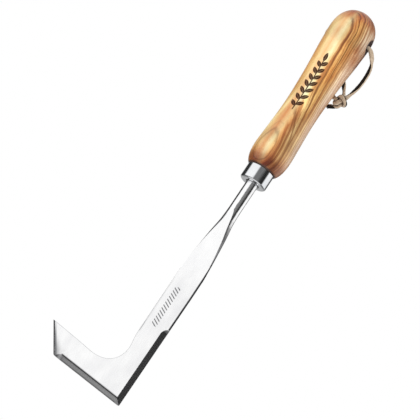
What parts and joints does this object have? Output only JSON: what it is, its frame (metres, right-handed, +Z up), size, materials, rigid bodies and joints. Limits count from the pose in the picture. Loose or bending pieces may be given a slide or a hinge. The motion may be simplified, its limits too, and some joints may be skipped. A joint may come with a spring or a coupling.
{
  "type": "patio weeding knife",
  "caption": "L-shaped hand weeding knife for joints between paving: forged steel blade with ground edges, steel ferrule, turned wooden handle and knotted leather hanging loop.",
  "frame": {"origin": "centre of the ferrule's flat blade-side face, on the handle axis", "axes": "+Z up the handle axis away from the blade; -Y is the side the ground face of the blade looks to; -X is the side the foot of the blade points to"},
  "size_m": [0.0912, 0.0369, 0.3373],
  "materials": {
    "blade_steel": "satin ground stainless",
    "ferrule_steel": "polished",
    "ash_wood": "clear satin lacquer",
    "bedding_resin": "cast",
    "lace_leather": "waxed"
  },
  "bodies": {
    "tool": {"blade": "blade_steel", "ferrule": "ferrule_steel", "handle": "ash_wood", "tang_resin": "bedding_resin"},
    "loop": {"leather_cord": "lace_leather"}
  },
  "joints": [
    {"name": "loop_swing", "type": "hinge", "parent": "tool", "child": "loop", "pos_m": [0, 0, 0.132], "axis": [1, 0, 0], "range_deg": [-3, 254]}
  ]
}
